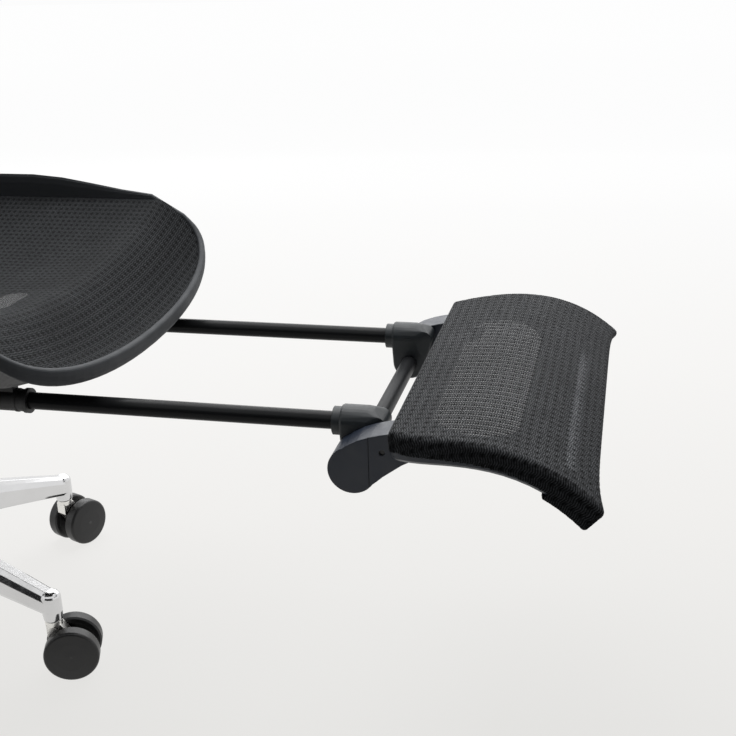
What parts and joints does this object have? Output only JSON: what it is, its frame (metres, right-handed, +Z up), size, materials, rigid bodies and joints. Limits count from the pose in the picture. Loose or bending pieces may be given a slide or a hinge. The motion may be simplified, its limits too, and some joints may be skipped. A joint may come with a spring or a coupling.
{
  "type": "reclining office chair",
  "caption": "Mesh office chair that reclines, with a footrest on two sliding rods that folds under the seat, headrest, armrests and a polished star base on casters.",
  "frame": {"origin": "on the floor under the middle of the gas column", "axes": "+Z up, the sitter faces -Y, +X to the sitter's left"},
  "size_m": [0.7, 1.3971, 1.2363],
  "materials": {
    "polished_metal": "polished",
    "caster_fork": "polished",
    "wheel": "satin",
    "black_metal": "satin",
    "rod_black": "satin",
    "gunmetal": "satin",
    "steel": "satin",
    "brass": "satin",
    "elbow": "satin",
    "arm_blue_grey": "satin",
    "rim_grey": "matte",
    "black_plastic": "matte",
    "seat_mesh": "knitted mesh",
    "footrest_knit": "knitted mesh",
    "arm_pad": "matte"
  },
  "bodies": {
    "base": {"star_base": "polished_metal", "gas_outer_tube": "black_metal", "gas_guide_bush": "black_plastic", "gas_thrust_bearing": "steel"},
    "lift_rod": {"gas_piston_rod": "steel"},
    "mechanism": {"gas_cylinder": "steel", "mechanism_housing": "black_metal", "mechanism_cover": "black_plastic", "tilt_axle": "steel", "tilt_spring": "steel", "seat_rails": "black_metal", "arm_brackets": "black_metal"},
    "release_pin": {"gas_release_pin": "brass"},
    "height_lever": {"height_lever": "black_metal"},
    "tilt_lock_lever": {"tilt_lock_lever": "black_metal"},
    "tension_knob": {"tension_knob": "black_plastic"},
    "seat": {"seat_pan": "black_plastic", "seat_rim": "rim_grey", "seat_mesh": "seat_mesh", "footrest_guides": "black_plastic"},
    "seat_button": {"seat_depth_button": "black_plastic"},
    "footrest_slide": {"footrest_rods": "rod_black", "footrest_rod_stops": "black_plastic", "footrest_elbow_left": "elbow", "footrest_elbow_right": "elbow", "footrest_cross_tube": "gunmetal"},
    "footrest": {"footrest_arm_left": "arm_blue_grey", "footrest_arm_right": "arm_blue_grey", "footrest_frame": "arm_blue_grey", "footrest_mesh": "footrest_knit", "footrest_screws": "black_metal"},
    "back": {"back_bracket": "black_metal", "back_frame": "rim_grey", "back_mesh": "seat_mesh", "back_screws": "black_metal"},
    "lumbar": {"lumbar_support": "black_plastic"},
    "headrest_post": {"headrest_stem": "rod_black"},
    "headrest": {"headrest_frame": "rim_grey", "headrest_mesh": "seat_mesh"},
    "arm_left": {"arm_post_left": "rod_black"},
    "arm_right": {"arm_post_right": "rod_black"},
    "arm_pad_left": {"arm_pad_left": "arm_pad"},
    "arm_pad_right": {"arm_pad_right": "arm_pad"},
    "arm_button_left": {"arm_button_left": "black_plastic"},
    "arm_button_right": {"arm_button_right": "black_plastic"},
    "caster_1": {"caster_1_fork": "caster_fork"},
    "caster_1_left": {"caster_1_wheel_left": "wheel"},
    "caster_1_right": {"caster_1_wheel_right": "wheel"},
    "caster_2": {"caster_2_fork": "caster_fork"},
    "caster_2_left": {"caster_2_wheel_left": "wheel"},
    "caster_2_right": {"caster_2_wheel_right": "wheel"},
    "caster_3": {"caster_3_fork": "caster_fork"},
    "caster_3_left": {"caster_3_wheel_left": "wheel"},
    "caster_3_right": {"caster_3_wheel_right": "wheel"},
    "caster_4": {"caster_4_fork": "caster_fork"},
    "caster_4_left": {"caster_4_wheel_left": "wheel"},
    "caster_4_right": {"caster_4_wheel_right": "wheel"},
    "caster_5": {"caster_5_fork": "caster_fork"},
    "caster_5_left": {"caster_5_wheel_left": "wheel"},
    "caster_5_right": {"caster_5_wheel_right": "wheel"}
  },
  "joints": [
    {"name": "seat_swivel", "type": "hinge", "parent": "base", "child": "lift_rod", "pos_m": [0, 0, 0.3], "axis": [0, 0, 1], "continuous": true},
    {"name": "gas_lift", "type": "slide", "parent": "lift_rod", "child": "mechanism", "axis": [0, 0, 1], "range_m": [-0.062, 0.03]},
    {"name": "height_lever_lift", "type": "hinge", "parent": "mechanism", "child": "height_lever", "pos_m": [-0.06, -0.042, 0.395], "axis": [0, 1, 0], "range_deg": [0, 4], "stiffness_Nm_per_rad": 6, "springref_deg": -3.44},
    {"name": "release_pin_press", "type": "slide", "parent": "mechanism", "child": "release_pin", "axis": [0, 0, -1], "range_m": [0, 0.0044]},
    {"name": "tilt_lock_turn", "type": "hinge", "parent": "mechanism", "child": "tilt_lock_lever", "pos_m": [0.072, -0.042, 0.395], "axis": [1, 0, 0], "range_deg": [0, 35]},
    {"name": "tension_knob_turn", "type": "hinge", "parent": "mechanism", "child": "tension_knob", "pos_m": [0, -0.12, 0.395], "axis": [0, -1, 0], "range_deg": [-540, 540]},
    {"name": "seat_depth", "type": "slide", "parent": "mechanism", "child": "seat", "axis": [0, 1, 0], "range_m": [0, 0.05]},
    {"name": "seat_button_press", "type": "slide", "parent": "seat", "child": "seat_button", "axis": [-1, 0, 0], "range_m": [0, 0.004], "stiffness_N_per_m": 400, "springref_m": -0.004},
    {"name": "footrest_pull", "type": "slide", "parent": "seat", "child": "footrest_slide", "axis": [0, 1, 0], "range_m": [0, 0.28]},
    {"name": "footrest_flip", "type": "hinge", "parent": "footrest_slide", "child": "footrest", "pos_m": [0, -0.7155, 0.383], "axis": [1, 0, 0], "range_deg": [0, 165]},
    {"name": "back_recline", "type": "hinge", "parent": "mechanism", "child": "back", "pos_m": [0, 0.088, 0.392], "axis": [-1, 0, 0], "range_deg": [-15, 20]},
    {"name": "lumbar_height", "type": "slide", "parent": "back", "child": "lumbar", "axis": [0, 0.342, 0.9397], "range_m": [-0.02, 0.03]},
    {"name": "headrest_height", "type": "slide", "parent": "back", "child": "headrest_post", "axis": [0, 0.342, 0.9397], "range_m": [0, 0.06]},
    {"name": "headrest_tilt", "type": "hinge", "parent": "headrest_post", "child": "headrest", "pos_m": [0, 0.42193, 1.13989], "axis": [1, 0, 0], "range_deg": [-20, 20]},
    {"name": "arm_left_height", "type": "slide", "parent": "mechanism", "child": "arm_left", "axis": [0, 0, 1], "range_m": [-0.035, 0.05]},
    {"name": "arm_left_turn", "type": "hinge", "parent": "arm_left", "child": "arm_pad_left", "pos_m": [0.318, 0.008, 0.7], "axis": [0, 0, 1], "range_deg": [-15, 12]},
    {"name": "arm_left_button_press", "type": "slide", "parent": "arm_left", "child": "arm_button_left", "axis": [-1, 0, 0], "range_m": [0, 0.003], "stiffness_N_per_m": 400, "springref_m": -0.004},
    {"name": "arm_right_height", "type": "slide", "parent": "mechanism", "child": "arm_right", "axis": [0, 0, 1], "range_m": [-0.035, 0.05]},
    {"name": "arm_right_turn", "type": "hinge", "parent": "arm_right", "child": "arm_pad_right", "pos_m": [-0.318, 0.008, 0.7], "axis": [0, 0, -1], "range_deg": [-15, 12]},
    {"name": "arm_right_button_press", "type": "slide", "parent": "arm_right", "child": "arm_button_right", "axis": [1, 0, 0], "range_m": [0, 0.003], "stiffness_N_per_m": 400, "springref_m": -0.004},
    {"name": "caster_1_swivel", "type": "hinge", "parent": "base", "child": "caster_1", "pos_m": [0.2519, -0.14368, 0.08], "axis": [0, 0, 1], "continuous": true},
    {"name": "caster_1_left_spin", "type": "hinge", "parent": "caster_1", "child": "caster_1_left", "pos_m": [0.27045, -0.15118, 0.035], "axis": [0.3746, 0.9272, 0], "continuous": true},
    {"name": "caster_1_right_spin", "type": "hinge", "parent": "caster_1", "child": "caster_1_right", "pos_m": [0.27045, -0.15118, 0.035], "axis": [0.3746, 0.9272, 0], "continuous": true},
    {"name": "caster_2_swivel", "type": "hinge", "parent": "base", "child": "caster_2", "pos_m": [0.21449, 0.19517, 0.08], "axis": [0, 0, 1], "continuous": true},
    {"name": "caster_2_left_spin", "type": "hinge", "parent": "caster_2", "child": "caster_2_left", "pos_m": [0.23088, 0.20665, 0.035], "axis": [-0.5736, 0.8192, 0], "continuous": true},
    {"name": "caster_2_right_spin", "type": "hinge", "parent": "caster_2", "child": "caster_2_right", "pos_m": [0.23088, 0.20665, 0.035], "axis": [-0.5736, 0.8192, 0], "continuous": true},
    {"name": "caster_3_swivel", "type": "hinge", "parent": "base", "child": "caster_3", "pos_m": [-0.11934, 0.26431, 0.08], "axis": [0, 0, 1], "continuous": true},
    {"name": "caster_3_left_spin", "type": "hinge", "parent": "caster_3", "child": "caster_3_left", "pos_m": [-0.12281, 0.284, 0.035], "axis": [-0.9848, -0.1736, 0], "continuous": true},
    {"name": "caster_3_right_spin", "type": "hinge", "parent": "caster_3", "child": "caster_3_right", "pos_m": [-0.12281, 0.284, 0.035], "axis": [-0.9848, -0.1736, 0], "continuous": true},
    {"name": "caster_4_swivel", "type": "hinge", "parent": "base", "child": "caster_4", "pos_m": [-0.28825, -0.03182, 0.08], "axis": [0, 0, 1], "continuous": true},
    {"name": "caster_4_left_spin", "type": "hinge", "parent": "caster_4", "child": "caster_4_left", "pos_m": [-0.30704, -0.02498, 0.035], "axis": [-0.342, -0.9397, 0], "continuous": true},
    {"name": "caster_4_right_spin", "type": "hinge", "parent": "caster_4", "child": "caster_4_right", "pos_m": [-0.30704, -0.02498, 0.035], "axis": [-0.342, -0.9397, 0], "continuous": true},
    {"name": "caster_5_swivel", "type": "hinge", "parent": "base", "child": "caster_5", "pos_m": [-0.05881, -0.28397, 0.08], "axis": [0, 0, 1], "continuous": true},
    {"name": "caster_5_left_spin", "type": "hinge", "parent": "caster_5", "child": "caster_5_left", "pos_m": [-0.05197, -0.30277, 0.035], "axis": [0.9397, 0.342, 0], "continuous": true},
    {"name": "caster_5_right_spin", "type": "hinge", "parent": "caster_5", "child": "caster_5_right", "pos_m": [-0.05197, -0.30277, 0.035], "axis": [0.9397, 0.342, 0], "continuous": true}
  ],
  "couplings": [
    {"joint": "release_pin_press", "follows": "height_lever_lift", "m_per_rad": 0.06}
  ]
}
